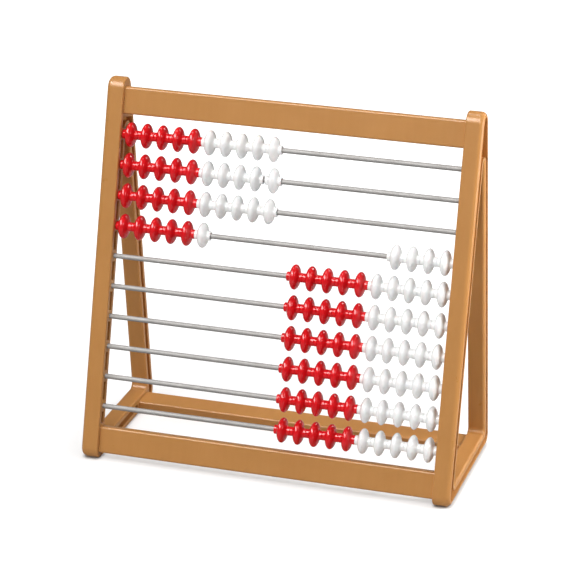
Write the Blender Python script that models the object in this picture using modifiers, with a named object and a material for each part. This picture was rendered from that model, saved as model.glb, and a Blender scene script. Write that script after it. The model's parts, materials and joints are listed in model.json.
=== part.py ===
# Counting frame: two closed triangular side frames joined by three rails, ten
# steel rods across the front slope and ten beads on every rod.
# Metres, +Z up, +X to the right, the sloping bead face looks along -Y.
import bpy
import bmesh
import math
import numpy as np
from mathutils import Matrix, Vector

# ---------------------------------------------------------------- dimensions
MM = 0.001
WIDTH = 305.0 * MM            # over both side frames
POST_W = 14.25 * MM           # side frame moulding, across X
SECTION = 13.4 * MM           # side frame moulding, in the frame's own plane
LEAN = math.radians(15.55)    # front post leans back from vertical
LEG_LEAN = math.radians(6.97) # back leg leans forward from vertical
FOOT_SPAN = 133.5 * MM        # sharp corner to sharp corner on the floor
R_TOP = 9.2 * MM              # outer corner radii of the triangular loop
R_TOE = 8.0 * MM
R_HEEL = 9.0 * MM
FLANGE = 4.1 * MM             # outer and inner flange of the H section
GROOVE_DEPTH = 5.0 * MM       # recess on each side of the web
RING_R_TOP = 6.3 * MM         # corner radii of the inner flange ring
RING_R_TOE = 6.0 * MM
RING_R_HEEL = 6.0 * MM
HOLE_R_TOP = 2.0 * MM         # corner radii of the triangular opening
HOLE_R_TOE = 3.0 * MM
HOLE_R_HEEL = 4.0 * MM
# soft edges, as (across X, within the frame's plane)
EDGE_OUT = (4.3 * MM, 3.6 * MM)  # outer corner, outward side
EDGE_RING = (2.6 * MM, 2.6 * MM) # edge of the opening, outward side
EDGE_IN = (1.3 * MM, 1.3 * MM)   # inward side

ROD_D = 4.0 * MM
ROD_N = 6.7 * MM              # rod axis behind the front face of the posts
ROD_S_LOW = 44.9 * MM         # lowest rod, measured up the slope
ROD_PITCH = 24.33 * MM
ROWS = 10
ROD_LENGTH = 290.0 * MM
SOCKET_D = 4.6 * MM
SOCKET_BOTTOM = 145.3 * MM    # blind end of the socket, measured along X
BOSS_D = 9.5 * MM

BEAD_PITCH = 13.2 * MM
BEAD_D = 20.0 * MM
BEAD_DISC = 8.2 * MM          # thickness of the lens shaped disc
HUB_D = 7.4 * MM
BORE_D = 4.6 * MM
BEAD_SIDES = 12
END_GAP = 0.3 * MM            # first hub to the boss
BODY_GAP = 0.3 * MM           # between neighbouring bead bodies

RAIL_N = 4.0 * MM             # rail face behind the post face
RAIL_T = 9.6 * MM
TOP_RAIL_S = (279.9 * MM, 301.4 * MM)
FRONT_RAIL_S = (7.1 * MM, 28.4 * MM)
REAR_RAIL_Y = (30.2 * MM, 52.2 * MM)
REAR_RAIL_Z = (0.5 * MM, 10.1 * MM)
RAIL_EDGE = 1.7 * MM
TENON = 6.0 * MM
TENON_IN = 2.2 * MM           # tenon shoulders, all round
FIT = 0.3 * MM                # clearance between separate pieces
PAD = 2.6 * MM                # solid pad beyond a rail, in the groove

INNER_X = WIDTH / 2 - POST_W

# ------------------------------------------------------------- start afresh
for old in list(bpy.data.objects):
    bpy.data.objects.remove(old, do_unlink=True)


def collection(name):
    coll = bpy.data.collections.new(name)
    bpy.context.scene.collection.children.link(coll)
    return coll


PARTS = collection("counting_frame")
CUTTERS = collection("cutters")


def material(name, colour, roughness, metallic=0.0):
    mat = bpy.data.materials.new(name)
    mat.use_nodes = True
    bsdf = mat.node_tree.nodes["Principled BSDF"]
    bsdf.inputs["Base Color"].default_value = (*colour, 1.0)
    bsdf.inputs["Roughness"].default_value = roughness
    bsdf.inputs["Metallic"].default_value = metallic
    mat.diffuse_color = (*colour, 1.0)
    return mat


TAN = material("tan_moulding", (0.50, 0.235, 0.075), 0.36)
STEEL = material("rod_steel", (0.55, 0.54, 0.52), 0.28, 1.0)
RED = material("red_bead", (0.70, 0.012, 0.018), 0.16)
WHITE = material("white_bead", (0.86, 0.86, 0.84), 0.18)


# --------------------------------------------------- side profile of the loop
def unit(v):
    return v / np.linalg.norm(v)


def crossing(p1, d1, p2, d2):
    t = np.linalg.solve(np.array([d1, -d2]).T, p2 - p1)
    return p1 + t[0] * d1


def loop(inset, r_toe, r_heel, r_top, steps=6, shift=0.0):
    """Rounded triangle (y, z), inset from the outer faces of the moulding."""
    fd = np.array([math.sin(LEAN), math.cos(LEAN)])
    fp = np.array([-FOOT_SPAN / 2, 0.0]) + inset * np.array([math.cos(LEAN), -math.sin(LEAN)])
    rd = np.array([-math.sin(LEG_LEAN), math.cos(LEG_LEAN)])
    rp = np.array([FOOT_SPAN / 2, 0.0]) - inset * np.array([math.cos(LEG_LEAN), math.sin(LEG_LEAN)])
    bp, bd = np.array([0.0, inset]), np.array([1.0, 0.0])
    corners = [crossing(fp, fd, bp, bd), crossing(rp, rd, bp, bd), crossing(fp, fd, rp, rd)]
    points = []
    for i, radius in enumerate((r_toe, r_heel, r_top)):
        v, before, after = corners[i], corners[i - 1], corners[(i + 1) % 3]
        u1, u2 = unit(before - v), unit(after - v)
        half = math.acos(float(u1 @ u2)) / 2
        centre = v + unit(u1 + u2) * radius / math.sin(half)
        reach = radius / math.tan(half)
        a1 = math.atan2(*(v + u1 * reach - centre)[::-1])
        a2 = math.atan2(*(v + u2 * reach - centre)[::-1])
        turn = (a2 - a1 + math.pi) % (2 * math.pi) - math.pi
        for k in range(steps + 1):
            a = a1 + turn * k / steps
            points.append(centre + radius * np.array([math.cos(a), math.sin(a)]))
    return np.array(points) + np.array([shift, 0.0])


OUTLINE = loop(0.0, R_TOE, R_HEEL, R_TOP)
# the finished loop stands centred on Y = 0
Y_SHIFT = -(OUTLINE[:, 0].min() + OUTLINE[:, 0].max()) / 2
TOE_Y = -FOOT_SPAN / 2 + Y_SHIFT


def slope_point(s, n, x=0.0):
    """Point s up the front slope and n behind the front face."""
    return Vector((x,
                   TOE_Y + s * math.sin(LEAN) + n * math.cos(LEAN),
                   s * math.cos(LEAN) - n * math.sin(LEAN)))


# --------------------------------------------------------------- mesh helpers
def into(coll, name, mesh, mat=None, smooth=True, angle=35.0):
    ob = bpy.data.objects.new(name, mesh)
    coll.objects.link(ob)
    if mat is not None:
        mesh.materials.append(mat)
    if smooth:
        mesh.shade_smooth()
        mesh.set_sharp_from_angle(angle=math.radians(angle))
    if coll is CUTTERS:
        ob.hide_render = True
        ob.display_type = 'WIRE'
    return ob


def loft(name, rings):
    """Closed skin over a closed run of (x, loop) rings, all with equal counts."""
    mesh = bpy.data.meshes.new(name)
    bm = bmesh.new()
    rows = [[bm.verts.new((x, y, z)) for y, z in pts] for x, pts in rings]
    for i, row in enumerate(rows):
        following = rows[(i + 1) % len(rows)]
        for j in range(len(row)):
            k = (j + 1) % len(row)
            bm.faces.new((row[j], row[k], following[k], following[j]))
    bmesh.ops.recalc_face_normals(bm, faces=bm.faces)
    bm.to_mesh(mesh)
    bm.free()
    return mesh


def box_mesh(name, size):
    mesh = bpy.data.meshes.new(name)
    bm = bmesh.new()
    bmesh.ops.create_cube(bm, size=1.0, matrix=Matrix.Diagonal((*size, 1.0)))
    bm.to_mesh(mesh)
    bm.free()
    return mesh


def rod_mesh(name, diameter, length, sides, chamfer=0.0):
    """Round bar along X, its ends optionally chamfered."""
    mesh = bpy.data.meshes.new(name)
    bm = bmesh.new()
    bmesh.ops.create_cone(bm, cap_ends=True, segments=sides, radius1=diameter / 2,
                          radius2=diameter / 2, depth=length,
                          matrix=Matrix.Rotation(math.pi / 2, 4, 'Y'))
    if chamfer:
        rim = [e for e in bm.edges if abs(e.verts[0].co.x - e.verts[1].co.x) < 1e-7]
        bmesh.ops.bevel(bm, geom=rim, offset=chamfer, segments=1, affect='EDGES')
    bm.to_mesh(mesh)
    bm.free()
    return mesh


def boolean(ob, other, operation='DIFFERENCE'):
    mod = ob.modifiers.new(operation.lower(), 'BOOLEAN')
    mod.operation = operation
    mod.solver = 'EXACT'
    mod.object = other
    return mod


def boolean_with(ob, coll, operation='DIFFERENCE'):
    mod = ob.modifiers.new(operation.lower() + "_set", 'BOOLEAN')
    mod.operation = operation
    mod.solver = 'EXACT'
    mod.operand_type = 'COLLECTION'
    mod.collection = coll
    return mod


def slope_frame():
    """Rotation that takes box axes (x, n, s) to world axes on the front slope."""
    back = Vector((0, math.cos(LEAN), -math.sin(LEAN)))
    up = Vector((0, math.sin(LEAN), math.cos(LEAN)))
    return Matrix((Vector((1, 0, 0)), back, up)).transposed().to_4x4()


# ---------------------------------------------------------------- side frames
STEPS = 6


def outer_loop(inset):
    """Outer face of the moulding, moved inwards."""
    return loop(inset, R_TOE - inset, R_HEEL - inset, R_TOP - inset, STEPS, Y_SHIFT)


def hole_loop(back):
    """Edge of the triangular opening, moved back into the moulding."""
    return loop(SECTION - back, HOLE_R_TOE + back, HOLE_R_HEEL + back, HOLE_R_TOP + back,
                STEPS, Y_SHIFT)


def groove_walls(steps):
    """Both walls of the groove between the outer and the inner flange."""
    return (loop(FLANGE, R_TOE - FLANGE, R_HEEL - FLANGE, R_TOP - FLANGE, steps, Y_SHIFT),
            loop(SECTION - FLANGE, RING_R_TOE, RING_R_HEEL, RING_R_TOP, steps, Y_SHIFT))


OUTER_WALL, RING = groove_walls(STEPS)
INNER_GROOVE = groove_walls(STEPS + 1)


def soft_edge(x_face, inwards, radii, make, segments, falling):
    """Rings of a rounded edge between the flat side x_face and the wall."""
    across, within = radii
    rings = []
    for k in range(segments + 1):
        a = (math.pi / 2) * k / segments
        rings.append((x_face + inwards * across * (1 - math.cos(a)),
                      make(within * (1 - math.sin(a)))))
    return rings[::-1] if falling else rings


def clear(ranges):
    """Grow a pair of limits by the fit clearance."""
    return ranges[0] - FIT, ranges[1] + FIT


def side_frame(name, side):
    """side = +1 for the right-hand frame, -1 for the left-hand one."""
    x_in, x_out = side * INNER_X, side * WIDTH / 2
    floor = x_out - side * GROOVE_DEPTH
    # one turn round the section: outward recess, outer flange with soft edges,
    # inward side, opening with soft edges, inner flange ring
    mesh = loft(name, [(floor, OUTER_WALL), (x_out, OUTER_WALL)]
                + soft_edge(x_out, -side, EDGE_OUT, outer_loop, 3, False)
                + soft_edge(x_in, side, EDGE_IN, outer_loop, 1, True)
                + soft_edge(x_in, side, EDGE_IN, hole_loop, 1, False)
                + soft_edge(x_out, -side, EDGE_RING, hole_loop, 3, True)
                + [(x_out, RING), (floor, RING)])
    body = into(PARTS, name, mesh, TAN, angle=30.0)

    # inward recess, interrupted by the rod bosses and the rail pads
    over, floor_in = x_in - side * 2.0 * MM, x_in + side * GROOVE_DEPTH
    wall, ring = INNER_GROOVE
    cut = loft(name + "_inner_recess", [(over, wall), (floor_in, wall),
                                        (floor_in, ring), (over, ring)])
    recess = into(CUTTERS, name + "_inner_recess", cut, smooth=False)
    x_mid = x_in + side * 1.0 * MM
    keep = bpy.data.collections.new(name + "_kept")
    CUTTERS.children.link(keep)

    def kept(tag, mesh, matrix):
        ob = bpy.data.objects.new(f"{name}_{tag}", mesh)
        keep.objects.link(ob)
        ob.hide_render = True
        ob.display_type = 'WIRE'
        ob.matrix_world = matrix

    for k in range(ROWS):
        at = slope_point(ROD_S_LOW + k * ROD_PITCH, ROD_N, x_mid)
        kept(f"boss_{k}", rod_mesh(f"{name}_boss_{k}", BOSS_D, 16 * MM, 16), Matrix.Translation(at))
    # pad above the lower edge of the top rail
    low = TOP_RAIL_S[0] - PAD
    kept("pad_top", box_mesh(name + "_pad_top", (18 * MM, 60 * MM, 60 * MM)),
         Matrix.Translation(slope_point(low + 30 * MM, 8 * MM, x_mid)) @ slope_frame())
    # pad in the toe, up to just above the front rail
    high = FRONT_RAIL_S[1] + PAD
    kept("pad_toe", box_mesh(name + "_pad_toe", (17 * MM, 30 * MM, 60 * MM)),
         Matrix.Translation(slope_point(high - 30 * MM, 4 * MM, x_mid)) @ slope_frame())
    # pad round the rear rail
    y0, y1 = REAR_RAIL_Y[0] - PAD, REAR_RAIL_Y[1] + PAD
    kept("pad_heel", box_mesh(name + "_pad_heel", (19 * MM, y1 - y0, 40 * MM)),
         Matrix.Translation((x_mid, (y0 + y1) / 2, -5.0 * MM)))
    boolean_with(recess, keep)
    boolean(body, recess)

    # blind sockets for the rods and the rail tenons
    sockets = bpy.data.collections.new(name + "_sockets")
    CUTTERS.children.link(sockets)

    def socket(tag, mesh, matrix):
        ob = bpy.data.objects.new(f"{name}_{tag}", mesh)
        sockets.objects.link(ob)
        ob.hide_render = True
        ob.display_type = 'WIRE'
        ob.matrix_world = matrix

    start = INNER_X - 3 * MM
    depth = SOCKET_BOTTOM - start
    for k in range(ROWS):
        at = slope_point(ROD_S_LOW + k * ROD_PITCH, ROD_N, side * (start + depth / 2))
        socket(f"bore_{k}", rod_mesh(f"{name}_bore_{k}", SOCKET_D, depth, 12), Matrix.Translation(at))
    t_end = INNER_X + TENON + FIT
    t_mid, t_len = side * (start + t_end) / 2, t_end - start
    for tag, (s0, s1) in (("top", TOP_RAIL_S), ("front", FRONT_RAIL_S)):
        a, b = clear((s0 + TENON_IN, s1 - TENON_IN))
        n0, n1 = clear((RAIL_N + TENON_IN, RAIL_N + RAIL_T - TENON_IN))
        socket("mortise_" + tag, box_mesh(f"{name}_mortise_{tag}", (t_len, n1 - n0, b - a)),
               Matrix.Translation(slope_point((a + b) / 2, (n0 + n1) / 2, t_mid)) @ slope_frame())
    (a, b), (z0, z1) = (clear((REAR_RAIL_Y[0] + TENON_IN, REAR_RAIL_Y[1] - TENON_IN)),
                        clear((REAR_RAIL_Z[0] + TENON_IN, REAR_RAIL_Z[1] - TENON_IN)))
    socket("mortise_rear", box_mesh(name + "_mortise_rear", (t_len, b - a, z1 - z0)),
           Matrix.Translation((t_mid, (a + b) / 2, (z0 + z1) / 2)))
    boolean_with(body, sockets)
    return body


side_frame("left_side_frame", -1)
side_frame("right_side_frame", +1)


# --------------------------------------------------------------------- rails
def rail(name, height, place):
    """Board between the side frames; the bar through it is its two tenons."""
    length = 2 * (INNER_X - FIT)
    mesh = bpy.data.meshes.new(name)
    bm = bmesh.new()
    bmesh.ops.create_cube(bm, size=1.0, matrix=Matrix.Diagonal((length, RAIL_T, height, 1.0)))
    long_edges = [e for e in bm.edges
                  if abs(e.verts[0].co.x - e.verts[1].co.x) > length / 2]
    bmesh.ops.bevel(bm, geom=long_edges, offset=RAIL_EDGE, segments=3, profile=0.5,
                    affect='EDGES')
    bmesh.ops.recalc_face_normals(bm, faces=bm.faces)
    bm.to_mesh(mesh)
    bm.free()
    ob = into(PARTS, name, mesh, TAN, angle=30.0)
    ob.matrix_world = place
    bar = into(CUTTERS, name + "_tenons",
               box_mesh(name + "_tenons", (length + 2 * TENON, RAIL_T - 2 * TENON_IN,
                                           height - 2 * TENON_IN)), smooth=False)
    bar.matrix_world = place
    boolean(ob, bar, 'UNION')
    return ob


for rail_name, (s0, s1) in (("top_rail", TOP_RAIL_S), ("bottom_front_rail", FRONT_RAIL_S)):
    rail(rail_name, s1 - s0,
         Matrix.Translation(slope_point((s0 + s1) / 2, RAIL_N + RAIL_T / 2)) @ slope_frame())
# the rear rail lies flat between the feet
rail("bottom_rear_rail", REAR_RAIL_Y[1] - REAR_RAIL_Y[0],
     Matrix.Translation((0, sum(REAR_RAIL_Y) / 2, sum(REAR_RAIL_Z) / 2))
     @ Matrix.Rotation(math.pi / 2, 4, 'X'))


# ---------------------------------------------------------------------- rods
def row_point(row, x=0.0):
    """Rod axis of a row; row 1 is the topmost."""
    return slope_point(ROD_S_LOW + (ROWS - row) * ROD_PITCH, ROD_N, x)


STEM = rod_mesh("rod", ROD_D, ROD_LENGTH, 12, chamfer=0.3 * MM)
STEM.materials.append(STEEL)
STEM.shade_smooth()
STEM.set_sharp_from_angle(angle=math.radians(40))
for row in range(1, ROWS + 1):
    ob = bpy.data.objects.new(f"rod_{row}", STEM)
    PARTS.objects.link(ob)
    ob.location = row_point(row)


# --------------------------------------------------------------------- beads
def bead_profile(name, count):
    """Half section of a string of equal beads, hub to hub, centred on X = 0:
    discs and hubs on the outside, the straight bore back along the inside."""
    half = (count * BEAD_PITCH - BODY_GAP) / 2
    hub, rim, semi = HUB_D / 2, BEAD_D / 2, BEAD_DISC / 2
    points = [(-half, hub)]
    for i in range(count):
        centre = (i - (count - 1) / 2) * BEAD_PITCH
        start = math.asin(hub / rim)
        for k in range(5):
            a = start + (math.pi - 2 * start) * k / 4
            points.append((centre - semi * math.cos(a), rim * math.sin(a)))
    points += [(half, hub), (half, BORE_D / 2), (-half, BORE_D / 2)]
    mesh = bpy.data.meshes.new(name)
    mesh.from_pydata([(x, r, 0.0) for x, r in points],
                     [(i, (i + 1) % len(points)) for i in range(len(points))], [])
    return mesh


def turned(ob, sides):
    """Turns the half section once round the X axis."""
    mod = ob.modifiers.new("turned", 'SCREW')
    mod.axis = 'X'
    mod.angle = 2 * math.pi
    mod.steps = mod.render_steps = sides
    mod.use_merge_vertices = True
    mod.merge_threshold = 0.00001
    mod.use_normal_calculate = True
    mod.use_smooth_shade = True
    return mod


STOP = INNER_X - END_GAP
GAP_ROW_2 = 1.6 * MM          # the end bead of row 2 stands a little apart

STRINGS = {}
for colour, mat in (("red", RED), ("white", WHITE)):
    for count in (1, 4, 5):
        if colour == "red" and count != 5:
            continue
        mesh = bead_profile(f"{colour}_{count}", count)
        mesh.materials.append(mat)
        STRINGS[colour, count] = mesh


def beads(name, row, colour, count, first, from_left, extra=0.0):
    """Place a string; first = slot of its first bead, counted from the left
    end of the packed row, packed against the left or the right frame."""
    x0 = -STOP if from_left else STOP - 10 * BEAD_PITCH
    centre = x0 + (first + count / 2) * BEAD_PITCH + extra
    ob = bpy.data.objects.new(name, STRINGS[colour, count])
    PARTS.objects.link(ob)
    ob.location = row_point(row, centre)
    turned(ob, BEAD_SIDES)


for row in range(1, ROWS + 1):
    left = row <= 3
    if row == 4:
        beads("row_4_red_beads", row, "red", 5, 0, True)
        beads("row_4_white_bead_left", row, "white", 1, 5, True)
        beads("row_4_white_beads_right", row, "white", 4, 6, False)
        continue
    beads(f"row_{row}_red_beads", row, "red", 5, 0, left)
    if row == 2:
        beads("row_2_white_beads", row, "white", 4, 5, left)
        beads("row_2_white_bead_end", row, "white", 1, 9, left, GAP_ROW_2)
    else:
        beads(f"row_{row}_white_beads", row, "white", 5, 5, left)
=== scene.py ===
# Counting frame, visual model: detailed side frames, rails, rods and one
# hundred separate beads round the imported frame.
import json
import math
import random

import bmesh
import bpy
import numpy as np
from mathutils import Matrix, Vector


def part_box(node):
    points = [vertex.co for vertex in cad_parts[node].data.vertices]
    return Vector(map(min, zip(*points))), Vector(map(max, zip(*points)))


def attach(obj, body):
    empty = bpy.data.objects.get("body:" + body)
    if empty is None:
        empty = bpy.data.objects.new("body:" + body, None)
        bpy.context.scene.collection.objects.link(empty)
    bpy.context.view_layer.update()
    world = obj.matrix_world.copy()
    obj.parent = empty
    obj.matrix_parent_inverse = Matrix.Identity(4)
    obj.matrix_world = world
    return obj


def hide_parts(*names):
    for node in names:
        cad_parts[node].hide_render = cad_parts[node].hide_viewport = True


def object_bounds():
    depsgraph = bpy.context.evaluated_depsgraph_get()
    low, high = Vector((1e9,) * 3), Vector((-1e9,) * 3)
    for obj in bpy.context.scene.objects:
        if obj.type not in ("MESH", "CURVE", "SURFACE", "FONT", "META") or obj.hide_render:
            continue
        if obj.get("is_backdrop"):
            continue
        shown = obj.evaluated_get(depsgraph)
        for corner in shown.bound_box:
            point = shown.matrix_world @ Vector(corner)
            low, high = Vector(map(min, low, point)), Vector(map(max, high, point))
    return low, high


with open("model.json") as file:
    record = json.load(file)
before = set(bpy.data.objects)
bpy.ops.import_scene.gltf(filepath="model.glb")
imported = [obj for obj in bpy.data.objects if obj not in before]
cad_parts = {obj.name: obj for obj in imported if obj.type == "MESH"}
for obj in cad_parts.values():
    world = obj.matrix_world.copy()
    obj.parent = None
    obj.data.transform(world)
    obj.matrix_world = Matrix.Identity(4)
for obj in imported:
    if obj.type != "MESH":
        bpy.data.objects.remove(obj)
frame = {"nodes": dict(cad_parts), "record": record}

NODES = frame["nodes"]
BODIES = frame["record"]["behaviour"]["bodies"]
NODE_BODY = {n: b for b, ns in BODIES.items() for n in ns}
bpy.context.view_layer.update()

MM = 0.001
# ------------------------------------------------ dimensions, as in the design
WIDTH, POST_W, SECTION = 305.0 * MM, 14.25 * MM, 13.4 * MM
LEAN, LEG_LEAN = math.radians(15.55), math.radians(6.97)
FOOT_SPAN = 133.5 * MM
R_TOP, R_TOE, R_HEEL = 9.2 * MM, 8.0 * MM, 9.0 * MM
FLANGE, GROOVE_DEPTH = 4.1 * MM, 5.0 * MM
RING_R_TOP, RING_R_TOE, RING_R_HEEL = 6.3 * MM, 6.0 * MM, 6.0 * MM
HOLE_R_TOP, HOLE_R_TOE, HOLE_R_HEEL = 2.0 * MM, 3.0 * MM, 4.0 * MM
# soft edges, as (across X, within the frame's plane)
EDGE_OUT, EDGE_RING, EDGE_IN = (4.3 * MM, 3.6 * MM), (2.6 * MM, 2.6 * MM), (1.3 * MM, 1.3 * MM)
ROD_D, ROD_N, ROD_S_LOW, ROD_PITCH = 4.0 * MM, 6.7 * MM, 44.9 * MM, 24.33 * MM
ROWS = 10
BOSS_D = 9.5 * MM
BEAD_PITCH, BEAD_D, BEAD_DISC, HUB_D = 13.2 * MM, 20.0 * MM, 8.2 * MM, 7.4 * MM
RAIL_N, RAIL_T = 4.0 * MM, 9.6 * MM
TOP_RAIL_S = (279.9 * MM, 301.4 * MM)
FRONT_RAIL_S = (7.1 * MM, 28.4 * MM)
REAR_RAIL_Y = (30.2 * MM, 52.2 * MM)
REAR_RAIL_Z = (0.5 * MM, 10.1 * MM)
PAD = 2.6 * MM
INNER_X = WIDTH / 2 - POST_W


# ------------------------------------------------------------ side profile
def unit(v):
    return v / np.linalg.norm(v)


def crossing(p1, d1, p2, d2):
    t = np.linalg.solve(np.array([d1, -d2]).T, p2 - p1)
    return p1 + t[0] * d1


def loop(inset, r_toe, r_heel, r_top, steps, shift):
    """Rounded triangle (y, z), inset from the outer faces of the moulding."""
    fd = np.array([math.sin(LEAN), math.cos(LEAN)])
    fp = np.array([-FOOT_SPAN / 2, 0.0]) + inset * np.array([math.cos(LEAN), -math.sin(LEAN)])
    rd = np.array([-math.sin(LEG_LEAN), math.cos(LEG_LEAN)])
    rp = np.array([FOOT_SPAN / 2, 0.0]) - inset * np.array([math.cos(LEG_LEAN), math.sin(LEG_LEAN)])
    bp, bd = np.array([0.0, inset]), np.array([1.0, 0.0])
    corners = [crossing(fp, fd, bp, bd), crossing(rp, rd, bp, bd), crossing(fp, fd, rp, rd)]
    points = []
    for i, radius in enumerate((r_toe, r_heel, r_top)):
        v, before, after = corners[i], corners[i - 1], corners[(i + 1) % 3]
        u1, u2 = unit(before - v), unit(after - v)
        half = math.acos(float(u1 @ u2)) / 2
        centre = v + unit(u1 + u2) * radius / math.sin(half)
        reach = radius / math.tan(half)
        a1 = math.atan2(*(v + u1 * reach - centre)[::-1])
        a2 = math.atan2(*(v + u2 * reach - centre)[::-1])
        turn = (a2 - a1 + math.pi) % (2 * math.pi) - math.pi
        for k in range(steps + 1):
            a = a1 + turn * k / steps
            points.append(centre + radius * np.array([math.cos(a), math.sin(a)]))
    return np.array(points) + np.array([shift, 0.0])


_plain = loop(0.0, R_TOE, R_HEEL, R_TOP, 6, 0.0)
Y_SHIFT = -(_plain[:, 0].min() + _plain[:, 0].max()) / 2
TOE_Y = -FOOT_SPAN / 2 + Y_SHIFT


def slope_point(s, n, x=0.0):
    """Point s up the front slope and n behind the front face."""
    return Vector((x,
                   TOE_Y + s * math.sin(LEAN) + n * math.cos(LEAN),
                   s * math.cos(LEAN) - n * math.sin(LEAN)))


def slope_frame():
    back = Vector((0, math.cos(LEAN), -math.sin(LEAN)))
    up = Vector((0, math.sin(LEAN), math.cos(LEAN)))
    return Matrix((Vector((1, 0, 0)), back, up)).transposed().to_4x4()


# ------------------------------------------------------------------- camera
TARGET = Vector((1.80 * MM, Y_SHIFT, 141.90 * MM))
AZ, EL, DIST = math.radians(17.49), math.radians(22.38), 2074.3 * MM
cam_data = bpy.data.cameras.new("camera")
cam_data.sensor_width = 36.0
cam_data.lens = 2630.77 / 576 * 36.0
cam_data.clip_start, cam_data.clip_end = 0.1, 50.0
camera = bpy.data.objects.new("camera", cam_data)
bpy.context.scene.collection.objects.link(camera)
away = Vector((math.sin(AZ) * math.cos(EL), -math.cos(AZ) * math.cos(EL), math.sin(EL)))
camera.location = TARGET + away * DIST
camera.rotation_euler = away.to_track_quat('Z', 'Y').to_euler()
bpy.context.scene.camera = camera


# ---------------------------------------------------------------- materials
class Nodes:
    """Small helper round a material's node tree."""

    def __init__(self, name):
        self.mat = bpy.data.materials.new(name)
        self.mat.use_nodes = True
        self.tree = self.mat.node_tree
        self.bsdf = self.tree.nodes["Principled BSDF"]

    def new(self, kind, **settings):
        node = self.tree.nodes.new(kind)
        for key, value in settings.items():
            if key in node.inputs:
                node.inputs[key].default_value = value
            else:
                setattr(node, key, value)
        return node

    def link(self, a, b):
        self.tree.links.new(a, b)

    def coords(self, scale=(1, 1, 1), rotation=(0, 0, 0)):
        tex = self.new("ShaderNodeTexCoord")
        mapping = self.new("ShaderNodeMapping")
        mapping.inputs["Scale"].default_value = scale
        mapping.inputs["Rotation"].default_value = rotation
        self.link(tex.outputs["Object"], mapping.inputs["Vector"])
        return mapping.outputs["Vector"]

    def noise(self, vector, scale, detail=3.0, rough=0.5, distortion=0.0):
        node = self.new("ShaderNodeTexNoise")
        node.inputs["Scale"].default_value = scale
        node.inputs["Detail"].default_value = detail
        node.inputs["Roughness"].default_value = rough
        node.inputs["Distortion"].default_value = distortion
        self.link(vector, node.inputs["Vector"])
        return node.outputs["Fac"]

    def ramp(self, value, stops):
        node = self.new("ShaderNodeValToRGB")
        e = node.color_ramp.elements
        while len(e) < len(stops):
            e.new(0.5)
        for item, (pos, col) in zip(e, stops):
            item.position = pos
            item.color = (*col, 1.0) if not isinstance(col, (int, float)) else (col, col, col, 1.0)
        self.link(value, node.inputs["Fac"])
        return node.outputs["Color"]

    def span(self, value, low, high, from_low=0.0, from_high=1.0):
        node = self.new("ShaderNodeMapRange")
        node.inputs["From Min"].default_value = from_low
        node.inputs["From Max"].default_value = from_high
        node.inputs["To Min"].default_value = low
        node.inputs["To Max"].default_value = high
        self.link(value, node.inputs["Value"])
        return node.outputs["Result"]

    def math(self, op, a, b=None):
        node = self.new("ShaderNodeMath", operation=op)
        for socket, value in zip(node.inputs, (a, b)):
            if value is None:
                continue
            if isinstance(value, (int, float)):
                socket.default_value = value
            else:
                self.link(value, socket)
        return node.outputs["Value"]

    def mix(self, factor, a, b, blend='MIX'):
        node = self.new("ShaderNodeMix", data_type='RGBA', blend_type=blend)
        for socket, value in ((node.inputs[0], factor), (node.inputs[6], a), (node.inputs[7], b)):
            if isinstance(value, (int, float)):
                socket.default_value = value
            elif isinstance(value, tuple):
                socket.default_value = (*value, 1.0)
            else:
                self.link(value, socket)
        return node.outputs[2]

    def bump(self, height, distance, strength=1.0, under=None):
        node = self.new("ShaderNodeBump")
        node.inputs["Strength"].default_value = strength
        node.inputs["Distance"].default_value = distance
        self.link(height, node.inputs["Height"])
        if under is not None:
            self.link(under, node.inputs["Normal"])
        return node.outputs["Normal"]


def edge_mask(n, radius, gain):
    """1 along convex and concave edges, 0 on flats."""
    bevel = n.new("ShaderNodeBevel", samples=6)
    bevel.inputs["Radius"].default_value = radius
    geo = n.new("ShaderNodeNewGeometry")
    dot = n.new("ShaderNodeVectorMath", operation='DOT_PRODUCT')
    n.link(bevel.outputs["Normal"], dot.inputs[0])
    n.link(geo.outputs["Normal"], dot.inputs[1])
    inv = n.math('SUBTRACT', 1.0, dot.outputs["Value"])
    node = n.new("ShaderNodeMath", operation='MULTIPLY', use_clamp=True)
    n.link(inv, node.inputs[0])
    node.inputs[1].default_value = gain
    return node.outputs["Value"]


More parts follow.
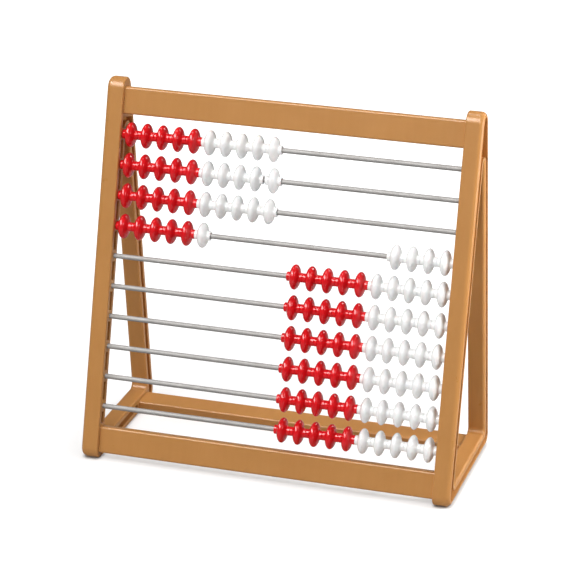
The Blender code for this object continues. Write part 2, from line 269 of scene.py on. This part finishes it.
def tan_plastic():
    n = Nodes("tan_moulded_plastic")
    flat = n.coords()
    # pigment: broad cloudiness from the melt flow, and fine speckle
    cloud = n.noise(flat, 22.0, 3.0, 0.55, 0.6)
    flow = n.noise(n.coords(scale=(1.0, 1.0, 0.12), rotation=(LEAN, 0, 0)), 260.0, 2.0, 0.5)
    speck = n.noise(flat, 1800.0, 2.0, 0.6)
    base = n.ramp(cloud, [(0.25, (0.495, 0.228, 0.066)), (0.75, (0.530, 0.250, 0.076))])
    base = n.mix(n.span(flow, 0.0, 0.35, 0.35, 0.7), base, (0.475, 0.216, 0.061))
    base = n.mix(n.span(speck, 0.0, 0.22, 0.45, 0.75), base, (0.56, 0.275, 0.092))
    # painted highlight: edges, convex and concave, are painted a paler tan where the edge
    # highlights fall, broken up by noise, and are made a little smoother
    painted_edge_highlight = n.math('MULTIPLY', edge_mask(n, 0.0014, 5.0),
                  n.span(n.noise(flat, 140.0, 3.0, 0.6), 0.15, 1.0, 0.35, 0.68))
    base = n.mix(n.math('MULTIPLY', painted_edge_highlight, 0.75), base, (0.78, 0.44, 0.19))
    n.link(base, n.bsdf.inputs["Base Color"])
    # satin skin with handling smudges and hairline scratches
    smudge = n.noise(flat, 55.0, 5.0, 0.62, 0.4)
    rough = n.span(smudge, 0.27, 0.32, 0.3, 0.7)
    hair = n.noise(n.coords(scale=(1.0, 0.03, 1.0), rotation=(0.5, 0.3, 0.9)), 1400.0, 2.0, 0.5)
    hair = n.span(hair, 0.0, 1.0, 0.66, 0.72)
    rough = n.math('ADD', rough, n.math('MULTIPLY', hair, 0.06))
    rough = n.math('SUBTRACT', rough, n.math('MULTIPLY', painted_edge_highlight, 0.06))
    n.link(rough, n.bsdf.inputs["Roughness"])
    # very shallow sink waves under the fine spark-eroded grain
    wave = n.bump(n.noise(flat, 38.0, 1.0, 0.4), 0.00045, 0.35)
    grain = n.bump(n.noise(flat, 2600.0, 2.0, 0.55), 0.000035, 0.5, wave)
    scratch = n.bump(hair, 0.00001, 0.4, grain)
    n.link(scratch, n.bsdf.inputs["Normal"])
    n.bsdf.inputs["IOR"].default_value = 1.49
    n.bsdf.inputs["Specular IOR Level"].default_value = 0.26
    n.bsdf.inputs["Subsurface Weight"].default_value = 0.06
    n.bsdf.inputs["Subsurface Radius"].default_value = (1.0, 0.45, 0.18)
    n.bsdf.inputs["Subsurface Scale"].default_value = 0.0015
    return n.mat


def bead_plastic(name, low, high, deep, subsurface, specular):
    n = Nodes(name)
    flat = n.coords()
    cloud = n.noise(flat, 90.0, 2.0, 0.5, 0.5)
    base = n.ramp(cloud, [(0.3, low), (0.7, high)])
    speck = n.noise(flat, 2200.0, 2.0, 0.6)
    base = n.mix(n.span(speck, 0.0, 0.12, 0.5, 0.8), base, deep)
    # a thin mould line round the rim
    tex = n.new("ShaderNodeTexCoord")
    split = n.new("ShaderNodeSeparateXYZ")
    n.link(tex.outputs["Object"], split.inputs["Vector"])
    near = n.math('ABSOLUTE', split.outputs["X"])
    line = n.span(near, 1.0, 0.0, 0.00004, 0.00016)
    base = n.mix(n.math('MULTIPLY', line, 0.14), base, deep)
    n.link(base, n.bsdf.inputs["Base Color"])
    rough = n.span(n.noise(flat, 160.0, 4.0, 0.6), 0.07, 0.12, 0.3, 0.7)
    scuff = n.noise(n.coords(scale=(1.0, 0.15, 0.15), rotation=(0.2, 0.7, 0.1)), 900.0, 2.0)
    rough = n.math('ADD', rough, n.math('MULTIPLY', n.span(scuff, 0.0, 1.0, 0.62, 0.72), 0.08))
    n.link(rough, n.bsdf.inputs["Roughness"])
    wave = n.bump(n.noise(flat, 190.0, 1.0, 0.4), 0.0001, 0.25)
    seam = n.bump(line, 0.00003, 0.35, wave)
    n.link(seam, n.bsdf.inputs["Normal"])
    n.bsdf.inputs["IOR"].default_value = 1.46
    n.bsdf.inputs["Specular IOR Level"].default_value = specular
    n.bsdf.inputs["Subsurface Weight"].default_value = subsurface
    n.bsdf.inputs["Subsurface Radius"].default_value = (1.0, 0.5, 0.4)
    n.bsdf.inputs["Subsurface Scale"].default_value = 0.0012
    return n.mat


def rod_steel():
    n = Nodes("drawn_steel_wire")
    flat = n.coords()
    draw = n.noise(n.coords(scale=(0.02, 1.0, 1.0)), 5200.0, 3.0, 0.6)
    stain = n.noise(flat, 70.0, 4.0, 0.6, 0.3)
    base = n.ramp(draw, [(0.3, (0.25, 0.241, 0.232)), (0.7, (0.33, 0.319, 0.308))])
    base = n.mix(n.span(stain, 0.0, 0.35, 0.45, 0.75), base, (0.25, 0.238, 0.222))
    n.link(base, n.bsdf.inputs["Base Color"])
    rough = n.math('ADD', n.span(draw, 0.64, 0.74, 0.3, 0.7), n.span(stain, 0.0, 0.08, 0.4, 0.7))
    n.link(rough, n.bsdf.inputs["Roughness"])
    n.link(n.bump(draw, 0.00002, 0.5), n.bsdf.inputs["Normal"])
    n.bsdf.inputs["Metallic"].default_value = 0.30
    n.bsdf.inputs["Specular IOR Level"].default_value = 0.2
    return n.mat


TAN = tan_plastic()
RED = bead_plastic("red_bead_plastic", (0.660, 0.0085, 0.0130), (0.760, 0.0130, 0.0185),
                   (0.52, 0.005, 0.008), 0.05, 0.42)
WHITE = bead_plastic("white_bead_plastic", (0.885, 0.88, 0.87), (0.92, 0.915, 0.91),
                     (0.80, 0.795, 0.78), 0.08, 0.35)
STEEL = rod_steel()
for node in NODES.values():
    slot_mat = (STEEL if node.name.startswith("rod_") else RED if "red_bead" in node.name
                else WHITE if "white_bead" in node.name else TAN)
    if not node.data.materials:
        node.data.materials.append(slot_mat)
    for i in range(len(node.data.materials)):
        node.data.materials[i] = slot_mat
    node.data.shade_smooth()
    node.data.set_sharp_from_angle(angle=math.radians(40))


# -------------------------------------------------------------- mesh helpers
MODEL = bpy.data.collections.new("counting_frame")
bpy.context.scene.collection.children.link(MODEL)


def piece(name, mesh, mat, body, stands_for, matrix=None, angle=35.0, weighted=True):
    ob = bpy.data.objects.new(name, mesh)
    MODEL.objects.link(ob)
    if matrix is not None:
        ob.matrix_world = matrix
    if not mesh.materials:
        mesh.materials.append(mat)
        mesh.shade_smooth()
        mesh.set_sharp_from_angle(angle=math.radians(angle))
    if weighted:
        mod = ob.modifiers.new("weighted_normals", 'WEIGHTED_NORMAL')
        mod.keep_sharp = True
        mod.weight = 80
    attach(ob, body)
    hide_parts(stands_for)
    return ob


def loft(name, rings):
    """Closed skin over a closed run of (x, loop) rings, all with equal counts."""
    mesh = bpy.data.meshes.new(name)
    bm = bmesh.new()
    rows = [[bm.verts.new((x, y, z)) for y, z in pts] for x, pts in rings]
    for i, row in enumerate(rows):
        following = rows[(i + 1) % len(rows)]
        for j in range(len(row)):
            k = (j + 1) % len(row)
            bm.faces.new((row[j], row[k], following[k], following[j]))
    bmesh.ops.recalc_face_normals(bm, faces=bm.faces)
    bm.to_mesh(mesh)
    bm.free()
    return mesh


def helper(name, mesh, matrix=None):
    ob = bpy.data.objects.new(name, mesh)
    bpy.context.scene.collection.objects.link(ob)
    if matrix is not None:
        ob.matrix_world = matrix
    return ob


def boolean(ob, others, operation='DIFFERENCE'):
    """Applies an exact boolean of ob with each of the other objects."""
    for other in others:
        mod = ob.modifiers.new(operation.lower(), 'BOOLEAN')
        mod.operation = operation
        mod.solver = 'EXACT'
        mod.object = other
    bpy.context.view_layer.update()
    dg = bpy.context.evaluated_depsgraph_get()
    mesh = bpy.data.meshes.new_from_object(ob.evaluated_get(dg))
    ob.modifiers.clear()
    old = ob.data
    ob.data = mesh
    bpy.data.meshes.remove(old)
    for other in others:
        data = other.data
        bpy.data.objects.remove(other)
        if data.users == 0:
            bpy.data.meshes.remove(data)


def merge(objects, name):
    """One helper object holding the meshes of several, in world space."""
    bm = bmesh.new()
    for ob in objects:
        part = ob.data.copy()
        part.transform(ob.matrix_world)
        bm.from_mesh(part)
        bpy.data.meshes.remove(part)
        data = ob.data
        bpy.data.objects.remove(ob)
        if data.users == 0:
            bpy.data.meshes.remove(data)
    mesh = bpy.data.meshes.new(name)
    bm.to_mesh(mesh)
    bm.free()
    return helper(name, mesh)


def cylinder(name, diameter, length, sides, at):
    mesh = bpy.data.meshes.new(name)
    bm = bmesh.new()
    bmesh.ops.create_cone(bm, cap_ends=True, segments=sides, radius1=diameter / 2,
                          radius2=diameter / 2, depth=length,
                          matrix=Matrix.Rotation(math.pi / 2, 4, 'Y'))
    bm.to_mesh(mesh)
    bm.free()
    return helper(name, mesh, Matrix.Translation(at))


def block(name, size, matrix, radius=0.0):
    mesh = bpy.data.meshes.new(name)
    bm = bmesh.new()
    bmesh.ops.create_cube(bm, size=1.0, matrix=Matrix.Diagonal((*size, 1.0)))
    if radius:
        bmesh.ops.bevel(bm, geom=list(bm.edges), offset=radius, segments=4, profile=0.5,
                        affect='EDGES')
    bm.to_mesh(mesh)
    bm.free()
    return helper(name, mesh, matrix)


# --------------------------------------------------------------- side frames
STEPS = 18
SOFT = 7


def outer_loop(inset):
    return loop(inset, R_TOE - inset, R_HEEL - inset, R_TOP - inset, STEPS, Y_SHIFT)


def hole_loop(back):
    return loop(SECTION - back, HOLE_R_TOE + back, HOLE_R_HEEL + back, HOLE_R_TOP + back,
                STEPS, Y_SHIFT)


def ring_loop(out):
    """Inner flange's wall towards the groove; out moves it into the groove."""
    return loop(SECTION - FLANGE - out, RING_R_TOE + out, RING_R_HEEL + out,
                RING_R_TOP + out, STEPS, Y_SHIFT)


def round_over(x_face, inwards, radii, make, segments, falling):
    """Rounded edge between the flat x_face and a wall running inwards."""
    across, within = radii
    rings = []
    for k in range(segments + 1):
        a = (math.pi / 2) * k / segments
        rings.append((x_face + inwards * across * (1 - math.cos(a)),
                      make(within * (1 - math.sin(a)))))
    return rings[::-1] if falling else rings


LIP = 0.40 * MM       # softened lips of the groove
ROOT = 0.8 * MM       # fillet at the groove floor
DRAFT = 0.18 * MM     # wall draft over the groove depth


def groove(x_face, inwards, over=0.0):
    """Rings down one wall of the groove, along its floor and up the other.
    over > 0 starts the walls outside the face, for a cutter."""
    n_lip, n_root = 3, 4
    depth = GROOVE_DEPTH
    rings = []

    def wall_out(t):      # position of the outer wall at depth t
        return FLANGE + DRAFT * t / depth

    def wall_in(t):
        return -DRAFT * t / depth

    down_o, down_i = [], []
    if over:
        down_o.append((-over, FLANGE))
        down_i.append((-over, 0.0))
    else:
        for k in range(n_lip + 1):
            a = (math.pi / 2) * k / n_lip
            t = LIP * (1 - math.cos(a))
            off = LIP * (1 - math.sin(a))
            down_o.append((t, wall_out(t) - off))
            down_i.append((t, -off))
    for k in range(n_root + 1):
        a = (math.pi / 2) * k / n_root
        t = depth - ROOT * (1 - math.sin(a))
        off = ROOT * (1 - math.cos(a))
        down_o.append((t, wall_out(depth) + off))
        down_i.append((t, DRAFT + off))
    outer = [(x_face + inwards * t, outer_loop(o)) for t, o in down_o]
    inner = [(x_face + inwards * t, ring_loop(o)) for t, o in down_i]
    return outer + inner[::-1]


def side_frame(name, node, side):
    x_in, x_out = side * INNER_X, side * WIDTH / 2
    mesh = loft(name, round_over(x_out, -side, EDGE_OUT, outer_loop, SOFT, False)
                + round_over(x_in, side, EDGE_IN, outer_loop, 5, True)
                + round_over(x_in, side, EDGE_IN, hole_loop, 5, False)
                + round_over(x_out, -side, EDGE_RING, hole_loop, SOFT, True)
                + groove(x_out, -side)[::-1])
    body = helper(name, mesh)

    # inward groove, interrupted by the rod bosses and by the rail pads
    over = 2.0 * MM
    recess = helper(name + "_recess", loft(name + "_recess", groove(x_in, side, over)))
    x_mid = x_in + side * 1.0 * MM
    bosses = [cylinder(f"{name}_boss_{k}", BOSS_D, 16 * MM, 48,
                       slope_point(ROD_S_LOW + k * ROD_PITCH, ROD_N, x_mid))
              for k in range(ROWS)]
    low = TOP_RAIL_S[0] - PAD
    bosses.append(block(name + "_pad_top", (18 * MM, 60 * MM, 60 * MM),
                        Matrix.Translation(slope_point(low + 30 * MM, 8 * MM, x_mid))
                        @ slope_frame()))
    high = FRONT_RAIL_S[1] + PAD
    bosses.append(block(name + "_pad_toe", (17 * MM, 30 * MM, 60 * MM),
                        Matrix.Translation(slope_point(high - 30 * MM, 4 * MM, x_mid))
                        @ slope_frame()))
    y0, y1 = REAR_RAIL_Y[0] - PAD, REAR_RAIL_Y[1] + PAD
    bosses.append(block(name + "_pad_heel", (19 * MM, y1 - y0, 40 * MM),
                        Matrix.Translation((x_mid, (y0 + y1) / 2, -5.0 * MM))))
    boolean(recess, bosses)
    boolean(body, [recess])
    # rod holes, tight round the steel
    holes = [cylinder(f"{name}_hole_{k}", ROD_D + 0.16 * MM, 16 * MM, 32,
                      slope_point(ROD_S_LOW + k * ROD_PITCH, ROD_N,
                                  side * (INNER_X - 2 * MM) ))
             for k in range(ROWS)]
    boolean(body, holes)

    # soften the rims that the inward groove and the holes leave in the face
    bm = bmesh.new()
    bm.from_mesh(body.data)
    bmesh.ops.remove_doubles(bm, verts=bm.verts, dist=0.00001)
    bmesh.ops.dissolve_degenerate(bm, dist=0.00001, edges=bm.edges)
    rim = [e for e in bm.edges if len(e.link_faces) == 2
           and all(abs(v.co.x - x_in) < 2e-6 for v in e.verts)
           and e.calc_face_angle(0.0) > math.radians(50)]
    bmesh.ops.bevel(bm, geom=rim, offset=0.3 * MM, offset_type='OFFSET', segments=3,
                    profile=0.5, affect='EDGES', clamp_overlap=True)
    bm.to_mesh(body.data)
    bm.free()
    mesh = body.data
    bpy.data.objects.remove(body)
    mesh.name = name
    return piece(name, mesh, TAN, "frame", node, angle=40.0)


side_frame("left_side_moulding", "left_side_frame", -1)
side_frame("right_side_moulding", "right_side_frame", +1)


# --------------------------------------------------------------------- rails
RAIL_EDGE = 1.7 * MM


def rail(name, node, height, place):
    """Moulded board: rounded long edges, flat faces, sharp ends
    that butt against the side frames."""
    length = 2 * (INNER_X - 0.08 * MM)
    mesh = bpy.data.meshes.new(name)
    bm = bmesh.new()
    # closed outline of the section, (thickness, height), with rounded corners
    outline = []
    t, h, r = RAIL_T / 2, height / 2, RAIL_EDGE
    for cx, cz, start in ((t - r, h - r, 0.0), (-t + r, h - r, 90.0),
                          (-t + r, -h + r, 180.0), (t - r, -h + r, 270.0)):
        for k in range(9):
            a = math.radians(start + 90.0 * k / 8)
            outline.append((cx + r * math.cos(a), cz + r * math.sin(a)))
    stations = [-1.0, -0.985] + [i / 12 for i in range(-11, 12)] + [0.985, 1.0]
    rows = []
    for u in stations:
        rows.append([bm.verts.new((u * length / 2, y, z)) for y, z in outline])
    for a, b in zip(rows, rows[1:]):
        for j in range(len(outline)):
            k = (j + 1) % len(outline)
            bm.faces.new((a[j], a[k], b[k], b[j]))
    bm.faces.new(rows[0])
    bm.faces.new(rows[-1][::-1])
    bmesh.ops.recalc_face_normals(bm, faces=bm.faces)
    bm.to_mesh(mesh)
    bm.free()
    return piece(name, mesh, TAN, "frame", node, matrix=place, angle=40.0)


for rail_name, node, (s0, s1) in (("top_rail_board", "top_rail", TOP_RAIL_S),
                                  ("bottom_front_rail_board", "bottom_front_rail", FRONT_RAIL_S)):
    rail(rail_name, node, s1 - s0,
         Matrix.Translation(slope_point((s0 + s1) / 2, RAIL_N + RAIL_T / 2)) @ slope_frame())
rail("bottom_rear_rail_board", "bottom_rear_rail", REAR_RAIL_Y[1] - REAR_RAIL_Y[0],
     Matrix.Translation((0, sum(REAR_RAIL_Y) / 2, sum(REAR_RAIL_Z) / 2))
     @ Matrix.Rotation(math.pi / 2, 4, 'X'))


# ---------------------------------------------------------------------- rods
def turned(name, profile, sides):
    """Closed turned skin about X; profile is a closed run of (x, r)."""
    mesh = bpy.data.meshes.new(name)
    bm = bmesh.new()
    rings = []
    for x, r in profile:
        rings.append([bm.verts.new((x, r * math.cos(2 * math.pi * j / sides),
                                    r * math.sin(2 * math.pi * j / sides)))
                      for j in range(sides)])
    for i, ring in enumerate(rings):
        following = rings[(i + 1) % len(rings)]
        for j in range(sides):
            k = (j + 1) % sides
            bm.faces.new((ring[j], ring[k], following[k], following[j]))
    bmesh.ops.recalc_face_normals(bm, faces=bm.faces)
    bm.to_mesh(mesh)
    bm.free()
    return mesh


def rod_skin():
    mesh = bpy.data.meshes.new("rod_wire")
    bm = bmesh.new()
    half, r, sides = 0.145, ROD_D / 2, 40
    stations = [(-half, r - 0.35 * MM), (-half + 0.12 * MM, r - 0.12 * MM),
                (-half + 0.35 * MM, r)]
    stations += [(-half + 0.35 * MM + (2 * half - 0.7 * MM) * k / 24, r) for k in range(1, 24)]
    stations += [(-x, rr) for x, rr in stations[:3]][::-1]
    rows = [[bm.verts.new((x, rr * math.cos(2 * math.pi * j / sides),
                           rr * math.sin(2 * math.pi * j / sides))) for j in range(sides)]
            for x, rr in stations]
    for a, b in zip(rows, rows[1:]):
        for j in range(sides):
            k = (j + 1) % sides
            bm.faces.new((a[j], a[k], b[k], b[j]))
    bm.faces.new(rows[0])
    bm.faces.new(rows[-1])
    bmesh.ops.recalc_face_normals(bm, faces=bm.faces)
    bm.to_mesh(mesh)
    bm.free()
    return mesh


ROD = rod_skin()
rng = random.Random(7)
for row in range(1, ROWS + 1):
    low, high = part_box(f"rod_{row}")
    at = (low + high) / 2
    spin = Matrix.Rotation(rng.uniform(0, 2 * math.pi), 4, 'X')
    piece(f"row_{row}_rod", ROD, STEEL, "frame", f"rod_{row}",
          matrix=Matrix.Translation(at) @ spin, angle=30.0, weighted=False)


# --------------------------------------------------------------------- beads
def bead_skin(name):
    """One bead: a lens shaped disc, a short hub on each side, a through bore."""
    semi, rim, hub = BEAD_DISC / 2, BEAD_D / 2, HUB_D / 2
    half = (BEAD_PITCH - 0.14 * MM) / 2
    bore = ROD_D / 2 + 0.18 * MM
    fillet = 1.15 * MM
    # where a fillet circle of radius f touches both the hub and the lens
    best = None
    for k in range(1, 4000):
        a = math.radians(60 + 120 * k / 4000)        # angle along the ellipse
        x, r = -semi * math.cos(a), rim * math.sin(a)
        nx, nr = -math.cos(a) / semi, math.sin(a) / rim
        size = math.hypot(nx, nr)
        cx, cr = x + fillet * nx / size, r + fillet * nr / size
        if x > 0 and cr <= hub + fillet:
            best = (a, x, r, cx, hub + fillet)
            break
    a_end, tx, tr, cx, cr = best
    start = math.pi - a_end
    right = []
    steps = 30
    for k in range(steps + 1):
        a = math.pi / 2 + (a_end - math.pi / 2) * k / steps
        right.append((-semi * math.cos(a), rim * math.sin(a)))
    a1 = math.atan2(tr - cr, tx - cx)
    a2 = -math.pi / 2
    for k in range(1, 7):
        a = a1 + (a2 - a1) * k / 6
        right.append((cx + fillet * math.cos(a), cr + fillet * math.sin(a)))
    edge = 0.35 * MM
    for k in range(5):
        a = math.pi / 2 - (math.pi / 2) * k / 4
        right.append((half - edge + edge * math.cos(a), hub - edge + edge * math.sin(a)))
    right.append((half, bore + 0.3 * MM))
    right.append((half - 0.25 * MM, bore))
    left = [(-x, r) for x, r in right[1:]][::-1]
    return turned(name, left + right, 56)


BEAD_MESH = {"red": bead_skin("red_bead"), "white": bead_skin("white_bead")}
for colour, mat in (("red", RED), ("white", WHITE)):
    BEAD_MESH[colour].materials.append(mat)
    BEAD_MESH[colour].shade_smooth()
    BEAD_MESH[colour].set_sharp_from_angle(angle=math.radians(50))

for row in range(1, ROWS + 1):
    for colour in ("red", "white"):
        groups = sorted((n for n in NODES if n.startswith(f"row_{row}_{colour}_bead")),
                        key=lambda n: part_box(n)[0].x)
        number = 0
        for node in groups:
            low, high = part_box(node)
            centre = (low + high) / 2
            count = round((high.x - low.x) / BEAD_PITCH)
            for i in range(count):
                number += 1
                at = centre + Vector(((i - (count - 1) / 2) * BEAD_PITCH, 0, 0))
                flip = Matrix.Rotation(math.pi * rng.randrange(2), 4, 'Z')
                spin = Matrix.Rotation(rng.uniform(0, 2 * math.pi), 4, 'X')
                piece(f"row_{row}_{colour}_bead_{number}", BEAD_MESH[colour], mat,
                      NODE_BODY[node], node,
                      matrix=Matrix.Translation(at) @ spin @ flip, weighted=False)


# --------------------------------------------------------------- floor, light
def floor(name, albedo, below):
    mesh = bpy.data.meshes.new(name)
    bm = bmesh.new()
    bmesh.ops.create_grid(bm, x_segments=1, y_segments=1, size=6.0,
                          matrix=Matrix.Translation((0, 0, -below)))
    bm.to_mesh(mesh)
    bm.free()
    ob = bpy.data.objects.new(name, mesh)
    bpy.context.scene.collection.objects.link(ob)
    n = Nodes("pale_" + name)
    n.bsdf.inputs["Base Color"].default_value = (*albedo, 1.0)
    n.bsdf.inputs["Roughness"].default_value = 0.9
    n.bsdf.inputs["Specular IOR Level"].default_value = 0.0
    mesh.materials.append(n.mat)
    ob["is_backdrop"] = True
    return ob, n


# the sweep that is seen: it stays evenly white away from the object
seen, n = floor("floor", (0.56, 0.557, 0.555), 0.0)
seen.visible_diffuse = seen.visible_glossy = seen.visible_shadow = False
tex = n.new("ShaderNodeTexCoord")
length = n.new("ShaderNodeVectorMath", operation='LENGTH')
n.link(tex.outputs["Object"], length.inputs[0])
glow = n.span(length.outputs["Value"], 0.50, 0.95, 0.18, 0.8)
# painted contact shadow: ambient occlusion dims the floor's glow where a foot all but touches it
painted_contact_shadow = n.new("ShaderNodeAmbientOcclusion", samples=12)
painted_contact_shadow.inputs["Distance"].default_value = 4.0 * MM
contact_shadow_factor = n.span(painted_contact_shadow.outputs["AO"], 0.0, 1.0, 0.30, 0.85)
n.link(n.math('MULTIPLY', glow, contact_shadow_factor), n.bsdf.inputs["Emission Strength"])
n.bsdf.inputs["Emission Color"].default_value = (1.0, 1.0, 1.0, 1.0)
# and the same sweep as it lights the object from below
bounce, n = floor("floor_bounce", (0.44, 0.44, 0.44), 1.0 * MM)
bounce.visible_camera = False


def softbox(name, azimuth, elevation, distance, width, height, power, colour=(1, 1, 1)):
    """Rectangular light aimed at the middle of the frame. Azimuth 0 is in
    front of the object, 90 to its right."""
    data = bpy.data.lights.new(name, 'AREA')
    data.shape = 'RECTANGLE'
    data.size, data.size_y = width, height
    data.energy = power
    data.color = colour
    ob = bpy.data.objects.new(name, data)
    bpy.context.scene.collection.objects.link(ob)
    a, e = math.radians(azimuth), math.radians(elevation)
    out = Vector((math.sin(a) * math.cos(e), -math.cos(a) * math.cos(e), math.sin(e)))
    ob.location = Vector((0, 0, 0.13)) + out * distance
    ob.rotation_euler = out.to_track_quat('Z', 'Y').to_euler()
    return ob


softbox("key", -26, 54, 1.8, 1.3, 0.95, 17.0).visible_glossy = False
softbox("front_fill", -6, 14, 2.0, 1.4, 1.0, 11.8).visible_glossy = False
softbox("wide_top", 0, 89, 1.6, 2.0, 1.6, 8.0).visible_glossy = False
softbox("back_top", 182, 78, 1.5, 0.35, 0.35, 6.0)
softbox("right_back", 148, 22, 1.5, 0.12, 0.60, 3.0)
# a small low light close to the right side frame
near = softbox("right_near", 90, 40, 0.5, 0.22, 0.30, 2.0)
near.location = Vector((0.47, 0.045, 0.27))
near.rotation_euler = (near.location - Vector((0.15, 0.0, 0.02))).to_track_quat('Z', 'Y').to_euler()
# the gloss that the key leaves on mouldings, beads and rods
softbox("key_gloss", -27, 52, 1.8, 3.2, 0.9, 165.0).visible_diffuse = False

world = bpy.data.worlds.new("studio")
bpy.context.scene.world = world
world.use_nodes = True
background = world.node_tree.nodes["Background"]
background.inputs["Color"].default_value = (1.0, 1.0, 1.0, 1.0)
# a dim room, in front of a white backdrop
ray = world.node_tree.nodes.new("ShaderNodeLightPath")
sky = world.node_tree.nodes.new("ShaderNodeMath")
sky.operation = 'MULTIPLY_ADD'
sky.inputs[1].default_value = 0.88
sky.inputs[2].default_value = 0.12
world.node_tree.links.new(ray.outputs["Is Camera Ray"], sky.inputs[0])
world.node_tree.links.new(sky.outputs["Value"], background.inputs["Strength"])
bpy.context.scene.view_settings.view_transform = 'Standard'

low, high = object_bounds()
